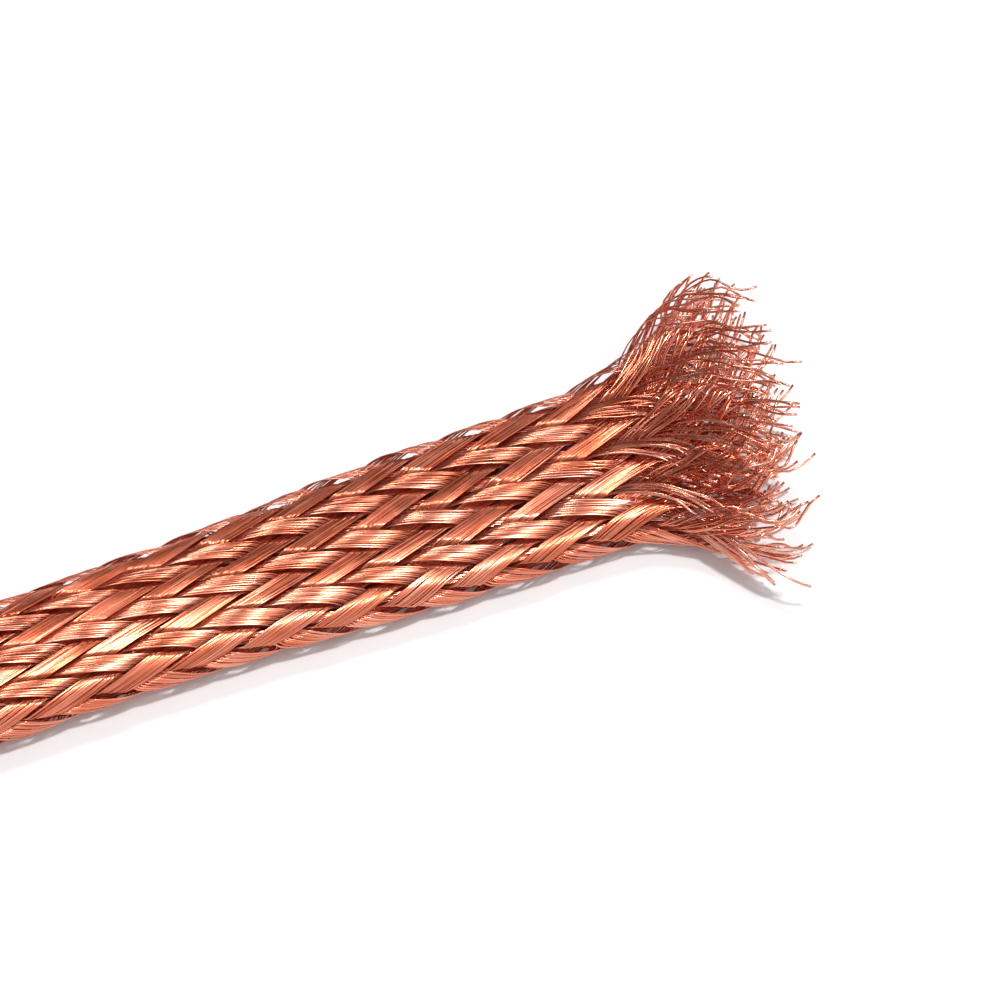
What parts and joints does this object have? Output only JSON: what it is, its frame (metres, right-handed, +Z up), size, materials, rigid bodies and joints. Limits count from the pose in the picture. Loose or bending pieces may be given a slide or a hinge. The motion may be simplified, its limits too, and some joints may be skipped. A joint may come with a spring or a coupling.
{
  "type": "flat copper braid",
  "caption": "Flat tubular braid of bare copper strands with a flared, frayed end, the rest of its length wound in a round coil.",
  "frame": {"origin": "on the ground, under the middle of the whole part", "axes": "+X along the straight braid, towards its frayed end; +Z up from the surface that it lies on"},
  "size_m": [0.0746, 0.0642, 0.0205],
  "materials": {
    "bare_copper": "bright drawn bare copper wire, untinned"
  },
  "bodies": {
    "root": {"strand_a_01": "bare_copper", "strand_a_02": "bare_copper", "strand_a_03": "bare_copper", "strand_a_04": "bare_copper", "strand_a_05": "bare_copper", "strand_a_06": "bare_copper", "strand_a_07": "bare_copper", "strand_a_08": "bare_copper", "strand_a_09": "bare_copper", "strand_a_10": "bare_copper", "strand_a_11": "bare_copper", "strand_a_12": "bare_copper", "strand_a_13": "bare_copper", "strand_a_14": "bare_copper", "strand_a_15": "bare_copper", "strand_a_16": "bare_copper", "strand_b_01": "bare_copper", "strand_b_02": "bare_copper", "strand_b_03": "bare_copper", "strand_b_04": "bare_copper", "strand_b_05": "bare_copper", "strand_b_06": "bare_copper", "strand_b_07": "bare_copper", "strand_b_08": "bare_copper", "strand_b_09": "bare_copper", "strand_b_10": "bare_copper", "strand_b_11": "bare_copper", "strand_b_12": "bare_copper", "strand_b_13": "bare_copper", "strand_b_14": "bare_copper", "strand_b_15": "bare_copper", "strand_b_16": "bare_copper", "braid_lead": "bare_copper", "braid_coil": "bare_copper"}
  },
  "joints": []
}
